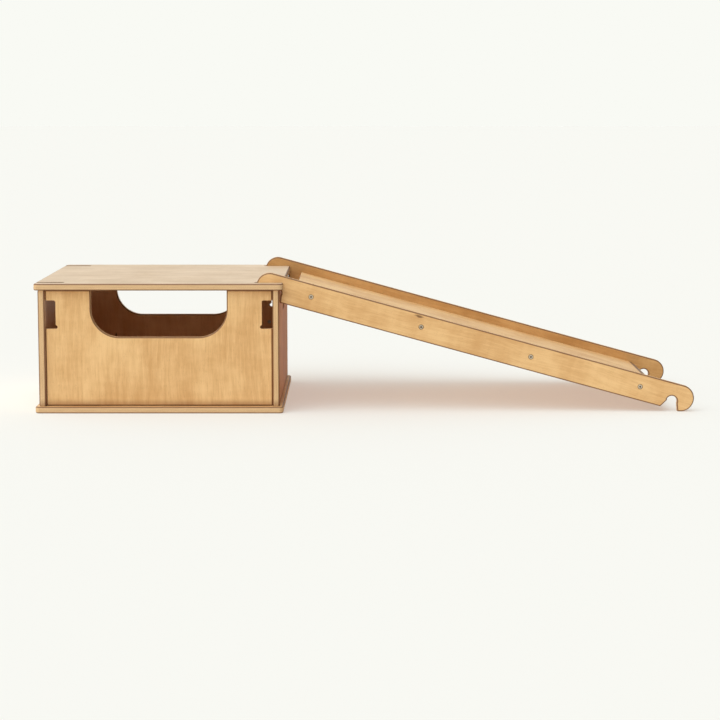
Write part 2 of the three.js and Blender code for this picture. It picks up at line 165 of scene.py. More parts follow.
class FinishColours(bpy.types.PropertyGroup):
    """Colours of the lacquered plywood, the battens and the fastenings."""

    face_light: colour("Face light", "Pale figure of the lacquered veneer", (0.88, 0.57, 0.265))
    face_dark: colour("Face dark", "Golden figure of the same", (0.66, 0.365, 0.14))
    # Painted sheen: a paler, greyer copy of the veneer for the top plate's upper face.
    deck_light: colour("Deck light", "Pale figure of the top plate's face", (0.72, 0.555, 0.395))
    deck_dark: colour("Deck dark", "Golden figure of the same", (0.58, 0.42, 0.27))
    # Painted shade: a darker, redder copy of the veneer for the right end wall's outer face.
    red_light: colour("Red light", "Pale figure, right end wall outside", (0.58, 0.235, 0.07))
    red_dark: colour("Red dark", "Dark figure of the same face", (0.42, 0.15, 0.036))
    # Painted fill light: a lighter, bluer copy of the veneer for the inner faces of the back and
    # left end walls.
    rosy_light: colour("Rosy light", "Pale figure, back and left walls inside", (0.86, 0.56, 0.35))
    rosy_dark: colour("Rosy dark", "Dark figure of the same faces", (0.70, 0.40, 0.22))
    # Painted shade: a darker copy of the veneer for the back rail's inner face.
    brown_light: colour("Brown light", "Pale figure, back rail inside", (0.70, 0.415, 0.165))
    brown_dark: colour("Brown dark", "Dark figure of the same face", (0.50, 0.255, 0.082))
    ply_light: colour("Ply light", "Plies that run along the edge", (0.90, 0.62, 0.34))
    ply_dark: colour("Ply dark", "Plies cut across at the edge", (0.55, 0.32, 0.145))
    glue: colour("Glue line", "Thin lines between the plies", (0.10, 0.045, 0.018))
    # Darker brown for the pores, for the band along the rounded edges and for the painted contact
    # shade at a wall's foot.
    scorch: colour("Edge scorch", "Browned line along the rounded edges", (0.17, 0.068, 0.030))
    knot: colour("Knot", "Knots and mineral streaks", (0.17, 0.075, 0.028))
    batten: colour("Batten", "Planed solid birch", (0.56, 0.34, 0.15))
    bolt: colour("Bolt steel", "Plated steel of the bolts", (0.72, 0.62, 0.47))
    zinc: colour("Zinc", "Zinc on the barrel nuts and screws", (0.55, 0.53, 0.49))
    ply_thickness: length("Ply thickness", "One layer of the plywood", 0.0014)


class StudioSettings(bpy.types.PropertyGroup):
    """Floor, light and camera."""

    floor: colour("Floor", "Seamless pale floor", (0.47, 0.53, 0.53))
    floor_glow: colour("Floor glow", "Light that fills the floor's shadows", (0.408, 0.338, 0.307))
    sky: colour("Surround", "Pale light all round", (0.947, 0.955, 0.905))
    right_dimming: number("Right dimming", "How much weaker the light from the right is", 0.95)
    front_dimming: number("Front dimming", "How much weaker the light from the front is", 0.4)
    lamp_strength: number("Lamp strength", "Large soft lamp from the upper left", 1.9)
    lamp_spread: FloatProperty(
        name="Lamp spread",
        description="How wide the lamp is, seen from the slide",
        default=math.radians(70),
        unit="ROTATION",
    )
    lens: number("Lens", "Focal length in millimetres", 106.0)
    camera_back: length("Camera back", "In front of the box's front edge", 5.5815)
    camera_up: length("Camera up", "Above the floor", 0.8304)
    camera_side: FloatProperty(
        name="Camera side",
        description="To the right of the whole object's middle",
        default=-0.0149,
        unit="LENGTH",
    )
    camera_tilt: FloatProperty(
        name="Camera tilt",
        description="Looks down by this angle",
        default=math.radians(7.016),
        unit="ROTATION",
    )


class SlideSettings(bpy.types.PropertyGroup):
    """Everything that a user of the slide would change."""

    panels: PointerProperty(type=PanelSizes)
    ramp: PointerProperty(type=RampSizes)
    fastenings: PointerProperty(type=FasteningSizes)
    finish: PointerProperty(type=FinishColours)
    studio: PointerProperty(type=StudioSettings)


# ---- Nodes ----


class Reckoned:
    """A socket that Python's operators reckon with, by adding Math nodes."""

    def __init__(self, bench, socket):
        self.bench = bench
        self.socket = socket

    def sum(self, operation, *values):
        sockets = dict(enumerate(values))
        return self.bench.value("ShaderNodeMath", {"operation": operation}, sockets)

    def __add__(self, other):
        return self.sum("ADD", self, other)

    def __radd__(self, other):
        return self.sum("ADD", other, self)

    def __sub__(self, other):
        return self.sum("SUBTRACT", self, other)

    def __rsub__(self, other):
        return self.sum("SUBTRACT", other, self)

    def __mul__(self, other):
        return self.sum("MULTIPLY", self, other)

    def __rmul__(self, other):
        return self.sum("MULTIPLY", other, self)

    def __truediv__(self, other):
        return self.sum("DIVIDE", self, other)

    def __mod__(self, other):
        return self.sum("FLOORED_MODULO", self, other)

    def __gt__(self, other):
        return self.sum("GREATER_THAN", self, other)

    def __lt__(self, other):
        return self.sum("LESS_THAN", self, other)

    def __abs__(self):
        return self.sum("ABSOLUTE", self)

    def __floor__(self):
        return self.sum("FLOOR", self)

    def step(self, low, high):
        """0 below low, 1 above high, and smooth between them."""
        settings = {"interpolation_type": "SMOOTHSTEP"}
        sockets = {"Value": self, "From Min": low, "From Max": high}
        return self.bench.value("ShaderNodeMapRange", settings, sockets)


class Bench:
    """A node tree being built."""

    def __init__(self, tree):
        self.tree = tree
        tree.nodes.clear()

    def node(self, kind, settings=None, sockets=None):
        """One node: its type, its settings, and the values or links of its sockets."""
        node = self.tree.nodes.new(kind)
        for key, value in (settings or {}).items():
            setattr(node, key, value)
        for key, value in (sockets or {}).items():
            self.feed(self.find(node.inputs, key), value)
        return node

    def find(self, sockets, key):
        if isinstance(key, int):
            return sockets[key]
        return next(s for s in sockets if s.enabled and key in (s.identifier, s.name))

    def feed(self, socket, value):
        if isinstance(value, (list, tuple)) and value and isinstance(value[0], Reckoned):
            for one in value:
                self.feed(socket, one)
        elif isinstance(value, Reckoned):
            self.tree.links.new(value.socket, socket)
        elif socket.type == "RGBA" and len(value) == 3:
            socket.default_value = (*value, 1)
        else:
            socket.default_value = value

    def value(self, kind, settings=None, sockets=None, output=None):
        """The same, and gives one of its outputs, or the only one in use."""
        node = self.node(kind, settings, sockets)
        if output is None:
            output = next(s.identifier for s in node.outputs if s.enabled)
        return Reckoned(self, self.find(node.outputs, output))

    def parts(self, vector):
        node = self.node("ShaderNodeSeparateXYZ", sockets={0: vector})
        return [Reckoned(self, s) for s in node.outputs]

    def scaled(self, vector, factors, shift=(0, 0, 0)):
        settings = {"operation": "MULTIPLY_ADD"}
        return self.value("ShaderNodeVectorMath", settings, {0: vector, 1: factors, 2: shift})

    def noise(self, vector, detail=2.0, roughness=0.5, distortion=0.0):
        """Smooth noise about one unit long, from 0 to 1."""
        sockets = {"Vector": vector, "Scale": 1.0, "Detail": detail}
        sockets.update({"Roughness": roughness, "Distortion": distortion})
        return self.value("ShaderNodeTexNoise", None, sockets, "Fac")

    def mix(self, factor, a, b):
        sockets = {"Factor": factor, "A": a, "B": b}
        return self.value("ShaderNodeMix", {"data_type": "RGBA"}, sockets, "Result_Color")

    def surface(self, base, roughness, bump, bump_depth, **fixed):
        """A Principled surface whose fine relief is a bump."""
        sockets = {"Height": bump, "Distance": bump_depth, "Strength": 1.0}
        normal = self.value("ShaderNodeBump", None, sockets, "Normal")
        inputs = {"Base Color": base, "Roughness": roughness, "Normal": normal}
        inputs.update({key.replace("_", " "): value for key, value in fixed.items()})
        shader = self.value("ShaderNodeBsdfPrincipled", None, inputs)
        self.node("ShaderNodeOutputMaterial", sockets={"Surface": shader})


def new_material(name):
    material = bpy.data.materials.new(name)
    material.use_nodes = True
    return material, Bench(material.node_tree)


# ---- Finishes ----


def in_own_axes(bench, centre, grain, face):
    """Object coordinates turned to a sheet's own: along the grain, across it, through it."""
    across = face.cross(grain)
    turn = Matrix((grain, across, face)).transposed().to_euler()
    position = bench.value("ShaderNodeTexCoord", None, None, "Object")
    settings = {"vector_type": "TEXTURE"}
    sockets = {"Vector": position, "Location": centre, "Rotation": turn}
    return bench.value("ShaderNodeMapping", settings, sockets)


def birch_figure(bench, local, seed):
    """Figure of lacquered birch, along local x: tone from 0 to 1, pores, streaks and relief."""
    shift = (seed * 3.17, seed * 1.31, seed * 0.73)
    bent = bench.scaled(local, (2.4, 2.4, 2.4), shift)
    sway = bench.noise(bent, detail=1.0) - 0.5
    along, across, through = bench.parts(local)
    swayed = bench.value(
        "ShaderNodeCombineXYZ", None, {0: along, 1: across + sway * 0.05, 2: through}
    )
    clouds = bench.noise(bench.scaled(swayed, (8, 14, 14), shift), detail=3.0)
    figure = bench.noise(bench.scaled(swayed, (9, 110, 110), shift), detail=4.0, roughness=0.7)
    ripple = bench.noise(bench.scaled(swayed, (55, 16, 16), shift), detail=2.0)
    fibre = bench.noise(bench.scaled(swayed, (30, 900, 900), shift), detail=3.0, roughness=0.7)
    dashes = bench.noise(bench.scaled(swayed, (130, 1500, 1500), shift), detail=1.0)
    pores = dashes.step(0.66, 0.76)
    tone = 0.5 + (clouds - 0.5) * 1.35 + (figure - 0.5) * 1.0
    tone = tone + (ripple - 0.5) * 0.35 + (fibre - 0.5) * 0.8
    streaks = birch_streaks(bench, swayed, shift)
    return tone, pores, streaks, fibre


def birch_streaks(bench, swayed, shift):
    """A few short mineral streaks and pin knots, far apart."""
    cells = bench.node(
        "ShaderNodeTexVoronoi",
        {"voronoi_dimensions": "3D"},
        {"Vector": bench.scaled(swayed, (3.4, 11, 11), shift), "Scale": 1.0, "Randomness": 1.0},
    )
    near = Reckoned(bench, bench.find(cells.outputs, "Distance"))
    chance = bench.parts(Reckoned(bench, bench.find(cells.outputs, "Color")))[0]
    frayed = bench.noise(bench.scaled(swayed, (60, 500, 500), shift), detail=2.0)
    core = 1 - (near + (frayed - 0.5) * 0.07).step(0.018, 0.05)
    return core * (chance > 0.55)


def plywood(name, colours, centre, grain, face, thickness, seed, tones="face", foot=None):
    """Lacquered birch plywood as a solid: a face veneer each side, and crossed plies between.

    Tones names the colours of the side that its face axis points at; the other side is plain.
    Every pair but face is painted light: a paler copy for painted sheen, a lighter one for painted
    fill light, darker ones for painted shade.
    Foot is the height of the wall's bottom edge; just above it the wall is darkened by painted
    contact shade.
    """
    material, bench = new_material(name)
    local = in_own_axes(bench, centre, grain, face)
    tone, pores, streaks, fibre = birch_figure(bench, local, seed)
    through = bench.parts(local)[2]
    golden = tone.step(0.0, 1.0)
    veneer = bench.mix(golden, colours.face_dark, colours.face_light)
    # Painted light: the other pairs are paler, lighter and darker copies of the veneer, for painted
    # sheen, fill light and shade.
    if tones != "face":
        dark, light = getattr(colours, f"{tones}_dark"), getattr(colours, f"{tones}_light")
        veneer = bench.mix(through > 0, veneer, bench.mix(golden, dark, light))
    veneer = bench.mix(pores * 0.35, veneer, colours.scorch)
    veneer = bench.mix(streaks * 0.85, veneer, colours.knot)

    wander = bench.noise(bench.scaled(local, (26, 26, 26)), detail=1.0) - 0.5
    depth = thickness / 2 - abs(through)
    layers = (depth + wander * 0.00025) / colours.ply_thickness
    layer = math.floor(layers)
    crossed = layer % 2
    speckle = bench.noise(bench.scaled(local, (1100, 1100, 1100)), detail=2.0)
    drift = bench.noise(bench.scaled(local, (18, 18, 700)), detail=2.0)
    shade = (crossed * 0.72 + (speckle - 0.5) * 0.5 + (drift - 0.5) * 0.9).step(0.0, 1.0)
    plies = bench.mix(shade, colours.ply_light, colours.ply_dark)
    gap = abs(layers % 1 - 0.5)
    plies = bench.mix(gap.step(0.40, 0.49) * 0.75, plies, colours.glue)
    inside = layers.step(0.9, 1.02)
    base = bench.mix(inside, veneer, plies)
    # Darker band on the rounded edges.
    edge_band = depth.step(0.00003, 0.0002) * (1 - depth.step(0.0016, 0.0045))
    base = bench.mix(edge_band * (0.75 + drift * 0.25), base, colours.scorch)
    # Painted contact shade: the wall darkens over its lowest 22 mm.
    if foot is not None:
        height = bench.parts(bench.value("ShaderNodeTexCoord", None, None, "Object"))[2]
        grime_and_shade = 1 - height.step(foot, foot + 0.022)
        base = bench.mix(grime_and_shade * (0.25 + drift * 0.5), base, colours.scorch)

    rubbed = bench.noise(bench.scaled(local, (9, 9, 9), (seed, 0, 0)), detail=3.0)
    roughness = 0.50 + (rubbed - 0.5) * 0.18 + (fibre - 0.5) * 0.12 + inside * 0.12
    relief = fibre * 0.6 - pores * 0.8 + inside * speckle * 0.8 - streaks * 0.4
    gloss = DULL_GLOSS if tones == "red" else LACQUER_GLOSS
    bench.surface(base, roughness, relief, 0.00006, Specular_IOR_Level=gloss)
    return material


def solid_birch(name, colours, centre, grain, face, seed):
    """Planed solid birch for the battens, with broad growth bands and fine fibres."""
    material, bench = new_material(name)
    local = in_own_axes(bench, centre, grain, face)
    tone, pores, streaks, fibre = birch_figure(bench, local, seed)
    bands = bench.noise(bench.scaled(local, (3, 160, 160), (seed, 0, 0)), detail=2.0)
    mixed = (tone * 0.6 + bands * 0.5).step(0.1, 1.0)
    base = bench.mix(mixed, colours.face_dark, colours.batten)
    base = bench.mix(pores * 0.4, base, colours.scorch)
    base = bench.mix(streaks * 0.7, base, colours.knot)
    roughness = 0.5 + (fibre - 0.5) * 0.2
    bench.surface(base, roughness, fibre - pores, 0.00008, Coat_Weight=0.1, Coat_Roughness=0.4)
    return material


def plated_steel(name, tint, grime_and_shade, roughness):
    """Plated steel: cloudy plating, fine handling marks and stains, and painted shade in the
    recesses.
    """
    material, bench = new_material(name)
    position = bench.value("ShaderNodeTexCoord", None, None, "Object")
    cloudy = bench.noise(bench.scaled(position, (420, 420, 420)), detail=3.0)
    marks = bench.noise(bench.scaled(position, (1500, 260, 1500)), detail=4.0, roughness=0.7)
    stain = bench.noise(bench.scaled(position, (2.3, 40, 5)), detail=1.0).step(0.52, 0.66)
    base = bench.mix(cloudy.step(0.3, 0.75) * 0.5, tint, [c * 0.72 for c in tint])
    base = bench.mix(marks.step(0.58, 0.75) * 0.4 + stain * 0.18, base, grime_and_shade)
    # Painted shade: the bolt's hexagon socket, marked by the recess attribute, darkens.
    recess = bench.value("ShaderNodeAttribute", {"attribute_name": "recess"}, None, "Fac")
    base = bench.mix(recess * 0.8, base, grime_and_shade)
    rough = roughness + (cloudy - 0.5) * 0.25 + (marks - 0.5) * 0.12
    bench.surface(base, rough, marks, 0.00002, Metallic=0.85)
    return material


def studio_floor(name, tint, glow):
    """Seamless pale floor, with the faintest unevenness, and a glow that fills its shadows."""
    material, bench = new_material(name)
    position = bench.value("ShaderNodeTexCoord", None, None, "Object")
    cloudy = bench.noise(bench.scaled(position, (1.5, 1.5, 1.5)), detail=2.0)
    base = bench.mix(cloudy * 0.02, tint, [c * 0.9 for c in tint])
    bench.surface(
        base, 0.9, cloudy, 0.00001,
        Emission_Color=glow, Emission_Strength=1.0, Specular_IOR_Level=0.0,
    )
    return material


# ---- Outlines, as lists of (x, y) ----


def arc(x, y, radius, start, end):
    """Points of an arc about (x, y), from start to end in degrees."""
    first, last = math.radians(start), math.radians(end)
    steps = max(1, math.ceil(abs(last - first) / ARC_STEP))
    angles = [first + (last - first) * i / steps for i in range(steps + 1)]
    return [(x + radius * math.cos(a), y + radius * math.sin(a)) for a in angles]


def mirrored(points):
    """The same points on the other side of x = 0, in the order that goes on round."""
    return [(-x, y) for x, y in reversed(points)]


def plate_outline(half, corner):
    """Square plate with round corners, counter-clockwise."""
    c = half - corner
    right = arc(c, -c, corner, -90, 0) + arc(c, c, corner, 0, 90)
    return right + mirrored(right)


def slot_outline(half, slot_y, slot_width, slot_length):
    """An open slot in from the plate's right edge, with a round inner end."""
    r = slot_width / 2
    out = half + OUTSIDE
    end = arc(half - slot_length + r, slot_y, r, 90, 270)
    return [(out, slot_y - r), (out, slot_y + r)] + end


def long_wall_outline(half, bottom, top, plate_underside, sizes):
    """Front or back wall, with its crawl opening at the top."""
    crawl_half = sizes.crawl_width / 2
    arc_x = crawl_half - sizes.crawl_radius
    arc_y = plate_underside - sizes.crawl_depth + sizes.crawl_radius
    right = [(half, bottom), (half, top), (crawl_half, top)]
    right += arc(arc_x, arc_y, sizes.crawl_radius, 0, -90)
    return right + mirrored(right)


def notch_outline(half, plate_underside, sizes):
    """Rail notch at a wall's right end. Its lower inner corner is relieved."""
    top = plate_underside - sizes.notch_drop
    bottom = top - sizes.notch_height
    inner = half - sizes.notch_width
    r = sizes.notch_round
    points = [(half + OUTSIDE, bottom), (half + OUTSIDE, top)]
    points += arc(inner + r, top - r, r, 90, 180)
    return points + arc(inner, bottom + r, r, 90, 270)


def end_wall_outline(half, bottom, top):
    return [(half, bottom), (half, top), (-half, top), (-half, bottom)]


def grip_outline(sizes):
    """Hand-hold: a slot with round ends."""
    r = sizes.grip_height / 2
    end = arc(sizes.grip_length / 2 - r, sizes.grip_centre, r, 90, -90)
    return end + mirrored(end)


def rail_outline(ramp, sizes):
    """Side rail: x from the upper nose's centre to the lower one's, with a hook at both ends."""
    lower = hook_end(ramp, sizes, sizes.lower_lead_in)
    upper = hook_end(ramp, sizes, sizes.upper_lead_in)
    return [(ramp.length + x, y) for x, y in lower] + mirrored(upper)


def hook_end(ramp, sizes, lead_in):
    """A rail's right end about its nose's centre: chamfer, round notch and nose."""
    r = sizes.rail_height / 2
    throat = -ramp.rung_along - sizes.hook_throat
    flare_end = -ramp.rung_along + sizes.rung_radius + sizes.hook_flare
    corner = math.degrees(math.acos(flare_end / r))
    points = [(throat - lead_in, -r), (throat, ramp.rung_up)]
    points += arc(-ramp.rung_along, ramp.rung_up, sizes.rung_radius, 180 - WRAP, -WRAP)
    return points + arc(0, 0, r, -corner, 90)


def board_outline(ramp, sizes, thickness):
    """Sliding board, seen from its edge: eased at the top and rolled down at the low end."""
    top = sizes.rail_height / 2 - sizes.board_below
    bottom = top - thickness
    end = ramp.length - sizes.board_end
    roll_start = end - sizes.roll_length
    angle = math.degrees(math.asin(sizes.roll_length / sizes.roll_radius))
    ease = sizes.board_ease
    start = sizes.board_start
    points = arc(start + ease, bottom + ease, ease, 180, 270)
    points += [(end, bottom)]
    points += arc(roll_start, top - sizes.roll_radius, sizes.roll_radius, 90 - angle, 90)
    return points + arc(start + ease, top - ease, ease, 90, 180)


# ---- Meshes ----


def show(name, mesh):
    piece = bpy.data.objects.new(name, mesh)
    bpy.context.scene.collection.objects.link(piece)
    return piece


def settled(source, name):
    """A plain mesh of what source shows, its modifiers worked in. Source itself goes."""
    bpy.context.view_layer.update()
    shown = source.evaluated_get(bpy.context.evaluated_depsgraph_get())
    mesh = bpy.data.meshes.new_from_object(shown)
    mesh.name = name
    bpy.data.objects.remove(source)
    return mesh


def tidied(mesh):
    """Merges doubles and turns the faces outwards."""
    shape = bmesh.new()
    shape.from_mesh(mesh)
    bmesh.ops.remove_doubles(shape, verts=shape.verts, dist=MERGE)
    bmesh.ops.recalc_face_normals(shape, faces=shape.faces)
    shape.to_mesh(mesh)
    shape.free()
    return mesh


def sheet_mesh(name, outline, thickness, edge_round, holes=()):
    """A sheet with its outline in x and y, rounded edges, and its middle at z = 0."""
    curve = bpy.data.curves.new(name, "CURVE")
    curve.dimensions = "2D"
    curve.fill_mode = "BOTH"
    curve.extrude = thickness / 2 - edge_round
    curve.bevel_depth = edge_round
    curve.bevel_resolution = EASE_SEGMENTS
    curve.offset = -edge_round
    for points in (outline, *holes):
        spline = curve.splines.new("POLY")
        spline.points.add(len(points) - 1)
        for point, (x, y) in zip(spline.points, points):
            point.co = (x, y, 0, 1)
        spline.use_cyclic_u = True
    mesh = settled(show(name, curve), name)
    bpy.data.curves.remove(curve)
    return tidied(mesh)


def stand(mesh, origin, along, up):
    """Puts a mesh made about z = 0 in its place: its x runs along, and its y up."""
    axes = Matrix((along, up, along.cross(up))).transposed().to_4x4()
    mesh.transform(Matrix.Translation(origin) @ axes)
    return mesh


def turned(shape, profile, start, way):
    """Adds a closed turned solid to a bmesh: profile lists (radius, distance along way)."""
    axes = way.to_track_quat("Z", "Y").to_matrix()
    rings = []
    for radius, distance in profile:
        ring = []
        for i in range(TURNED_SIDES):
            a = 2 * math.pi * i / TURNED_SIDES
            spot = axes @ Vector((radius * math.cos(a), radius * math.sin(a), distance))
            ring.append(shape.verts.new(start + spot))
        rings.append(ring)
    for low, high in zip(rings, rings[1:]):
        for i in range(TURNED_SIDES):
            j = (i + 1) % TURNED_SIDES
            shape.faces.new((low[i], low[j], high[j], high[i]))
    shape.faces.new(reversed(rings[0]))
    shape.faces.new(rings[-1])


def prism(shape, outline, origin, along, up, reach):
    """Adds a square-edged solid to a bmesh: its outline, reach to each side of its plane."""
    way = along.cross(up)
    rings = []
    for side in (-reach, reach):
        spots = [origin + along * x + up * y + way * side for x, y in outline]
        rings.append([shape.verts.new(spot) for spot in spots])
    low, high = rings
    for i in range(len(outline)):
        j = (i + 1) % len(outline)
        shape.faces.new((low[i], low[j], high[j], high[i]))
    shape.faces.new(reversed(low))
    shape.faces.new(high)


# ---- Fastenings: where each one is, and the hole that it needs ----


class Fastening:
    """A bolt, nut or screw of the frame: where it starts, which way it goes, how long it is."""

    def __init__(self, node, way):
        low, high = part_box(node)
        self.node = node
        self.low, self.high = low, high
        self.way = way
        self.centre = (low + high) / 2

    def start(self, size):
        return self.centre - self.way * size / 2

    def meets(self, low, high):
        return all(self.low[i] < high[i] and self.high[i] > low[i] for i in range(3))


def members(prefix):
    return sorted(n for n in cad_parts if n.startswith(prefix))


def side_of(node, axis):
    """1 or -1: the side of the box's middle that a node is on, along an axis."""
    low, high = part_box(node)
    plate_low, plate_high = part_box("base_panel")
    middle = (plate_low[axis] + plate_high[axis]) / 2
    return 1 if (low[axis] + high[axis]) / 2 > middle else -1


def longest_axis(node):
    low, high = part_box(node)
    size = high - low
    return max(range(3), key=lambda i: size[i])


def fastenings():
    """Every fastening of the frame, by kind."""
    slope = Ramp().up
    found = {
        "ramp_bolt": [Fastening(n, -Y * side_of(n, 1)) for n in members("ramp_bolt")],
        "corner_bolt": [Fastening(n, -X * side_of(n, 0)) for n in members("corner_bolt")],
        "ramp_nut": [Fastening(n, slope) for n in members("ramp_nut")],
        "corner_nut": [Fastening(n, Y * side_of(n, 1)) for n in members("corner_nut")],
        "base_screw": [Fastening(n, Z) for n in members("base_screw")],
        "cleat_screw": [],
    }
    for n in members("cleat_screw"):
        way = Z if longest_axis(n) == 2 else X * side_of(n, 0)
        found["cleat_screw"].append(Fastening(n, way))
    return found


def hole_profile(kind, size, sizes):
    """Hole for a fastening, starting outside its face: (radius, distance) along its way."""
    s = sizes.slack
    if kind.endswith("bolt"):
        head, shank = sizes.bolt_head + s, sizes.bolt_shank + s
        mouth = head + sizes.bolt_edge
        return [
            (mouth, -OUTSIDE),
            (mouth, -s),
            (head, sizes.bolt_edge - s),
            (head, sizes.bolt_head_depth + s),
            (shank, sizes.bolt_head_depth + s),
            (shank, size + 2 * s),
        ]
    if kind.endswith("nut"):
        return [(sizes.nut + s, -OUTSIDE), (sizes.nut + s, size + s)]
    head, shank = sizes.screw_head + s, sizes.screw_shank + s
    return [(head, -OUTSIDE), (head, 0), (shank, head - shank), (shank, size + s)]


def size_of(fastening, kind, sizes):
    """A fastening's length along its way."""
    extent = fastening.high - fastening.low
    if kind == "ramp_nut":
        tilt = Ramp()
        return (extent.z - 2 * sizes.nut * tilt.fall) / tilt.run
    return abs(extent.dot(fastening.way))


def cut_away(piece, name, shape):
    """Takes a bmesh out of a piece, and gives the object that holds it meanwhile."""
    bmesh.ops.recalc_face_normals(shape, faces=shape.faces)
    cutter = show(name, bpy.data.meshes.new(name))
    shape.to_mesh(cutter.data)
    shape.free()
    cut = piece.modifiers.new(name, "BOOLEAN")
    cut.operation = "DIFFERENCE"
    cut.solver = "EXACT"
    cut.object = cutter
    return cutter


def drilled(name, mesh, low, high, settings, prisms=()):
    """Takes the prisms, and the hole of every fastening that meets the piece, out of its mesh."""
    piece = show(name, mesh)
    cutters = []
    if prisms:
        shape = bmesh.new()
        for one in prisms:
            prism(shape, *one)
        cutters.append(cut_away(piece, "openings", shape))
    for kind, group in fastenings().items():
        met = [f for f in group if f.meets(low, high)]
        if not met:
            continue
        shape = bmesh.new()
        for f in met:
            size = size_of(f, kind, settings)
            turned(shape, hole_profile(kind, size, settings), f.start(size), f.way)
        cutters.append(cut_away(piece, kind, shape))
    cut = settled(piece, name)
    for cutter in cutters:
        bpy.data.objects.remove(cutter)
    return smoothed(name, cut)


def smoothed(name, mesh):
    """Shades the rounded edges smooth, and keeps the broad faces flat."""
    for face in mesh.polygons:
        face.use_smooth = True
    mesh.set_sharp_from_angle(angle=CREASE)
    piece = show(name, mesh)
    weighted = piece.modifiers.new("Flat faces", "WEIGHTED_NORMAL")
    weighted.mode = "FACE_AREA"
    weighted.weight = 100
    weighted.keep_sharp = True
    return settled(piece, name)


class Ramp:
    """The ramp's own directions and places, worked out from the frame."""

    def __init__(self):
        low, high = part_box("front_rail")
        settings = bpy.context.scene.toddler_slide.ramp
        r = settings.rail_height / 2
        self.nose = Vector((low.x + r, 0, high.z - r))
        foot = Vector((high.x - r, 0, low.z + r))
        self.length = (foot - self.nose).length
        self.along = (foot - self.nose).normalized()
        self.up = Y.cross(self.along) * -1
        self.run, self.fall = self.along.x, -self.along.z
        end_low, end_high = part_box("right_end_panel")
        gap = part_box("top_panel")[0].z - end_high.z
        half_sheet = (end_high.x - end_low.x) / 2
        drop = math.sqrt((settings.rung_radius - gap) ** 2 - half_sheet**2)
        rung = Vector(((end_low.x + end_high.x) / 2, 0, end_high.z + gap - drop))
        self.rung_along = (rung - self.nose).dot(self.along)
        self.rung_up = (rung - self.nose).dot(self.up)


def finish_piece(name, mesh, material, body, node):
    """A finished wooden piece in the place of its CAD node."""
    mesh.materials.clear()
    mesh.materials.append(material)
    for face in mesh.polygons:
        face.material_index = 0
    piece = show(name, mesh)
    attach(piece, body)
    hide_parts(node)


# ---- Fastenings by Geometry Nodes ----


class ShapeBench(Bench):
    """A Geometry Nodes tree, with named inputs for its sizes."""

    def __init__(self, name, sizes):
        super().__init__(bpy.data.node_groups.new(name, "GeometryNodeTree"))
        face = self.tree.interface
        face.new_socket("Geometry", in_out="OUTPUT", socket_type="NodeSocketGeometry")
        face.new_socket("Geometry", in_out="INPUT", socket_type="NodeSocketGeometry")
        for label in sizes:
            face.new_socket(label, in_out="INPUT", socket_type="NodeSocketFloat")
        face.new_socket("Seed", in_out="INPUT", socket_type="NodeSocketInt")
        face.new_socket("Finish", in_out="INPUT", socket_type="NodeSocketMaterial")
        source = self.node("NodeGroupInput")
        self.inputs = {s.name: Reckoned(self, s) for s in source.outputs if s.name}

    def moved(self, shape, z):
        spot = self.value("ShaderNodeCombineXYZ", None, {2: z})
        return self.value("GeometryNodeTransform", None, {"Geometry": shape, "Translation": spot})

    def cone(self, bottom, top, start, end, sides=HIDDEN_SIDES):
        """An open cone or tube from start to end, along z."""
        sockets = {"Vertices": sides, "Radius Bottom": bottom, "Radius Top": top}
        sockets["Depth"] = end - start
        tube = self.value("GeometryNodeMeshCone", {"fill_type": "NONE"}, sockets, "Mesh")
        return self.moved(tube, start)

    def disc(self, radius, z, sides=HIDDEN_SIDES):
        sockets = {"Vertices": sides, "Radius": radius}
        return self.moved(self.value("GeometryNodeMeshCircle", {"fill_type": "NGON"}, sockets), z)

    def lathe(self, profile, sides=HIDDEN_SIDES):
        """A closed turned solid: profile lists (radius, z), from its first disc to its last."""
        shells = [self.disc(*profile[0], sides), self.disc(*profile[-1], sides)]
        for (r0, z0), (r1, z1) in zip(profile, profile[1:]):
            shells.append(self.cone(r0, r1, z0, z1, sides))
        joined = self.value("GeometryNodeJoinGeometry", None, {0: shells})
        sockets = {"Geometry": joined, "Distance": 1e-5}
        return self.value("GeometryNodeMergeByDistance", None, sockets)

    def bar(self, x, y, z):
        """A box about the origin."""
        size = self.value("ShaderNodeCombineXYZ", None, {0: x, 1: y, 2: z})
        return self.value("GeometryNodeMeshCube", None, {"Size": size}, "Mesh")

    def less(self, shape, tools):
        """The shape with the tools cut out of it."""
        settings = {"operation": "DIFFERENCE", "solver": "EXACT"}
        sockets = {"Mesh 1": shape, "Mesh 2": tools}
        return self.value("GeometryNodeMeshBoolean", settings, sockets, "Mesh")

    def spread(self, shape):
        """One of the shape at each point, along its "way", turned by chance, and finished."""
        way = self.value(
            "GeometryNodeInputNamedAttribute", {"data_type": "FLOAT_VECTOR"}, {"Name": "way"},
            "Attribute",
        )
        aim = self.value("FunctionNodeAlignRotationToVector", {"axis": "Z"}, {"Vector": way})
        chance = self.value(
            "FunctionNodeRandomValue", {"data_type": "FLOAT"},
            {"Min": 0.0, "Max": 2 * math.pi, "Seed": self.inputs["Seed"]}, "Value",
        )
        twist = self.value("ShaderNodeCombineXYZ", None, {2: chance})
        turn = self.value("FunctionNodeEulerToRotation", None, {"Euler": twist})
        spun = self.value(
            "FunctionNodeRotateRotation", {"rotation_space": "LOCAL"},
            {"Rotation": aim, "Rotate By": turn},
        )
        placed = self.value(
            "GeometryNodeInstanceOnPoints", None,
            {"Points": self.inputs["Geometry"], "Instance": shape, "Rotation": spun},
        )
        real = self.value("GeometryNodeRealizeInstances", None, {"Geometry": placed})
        done = self.value(
            "GeometryNodeSetMaterial", None,
            {"Geometry": real, "Material": self.inputs["Finish"]},
        )
        self.node("NodeGroupOutput", None, {"Geometry": done})
        return self.tree


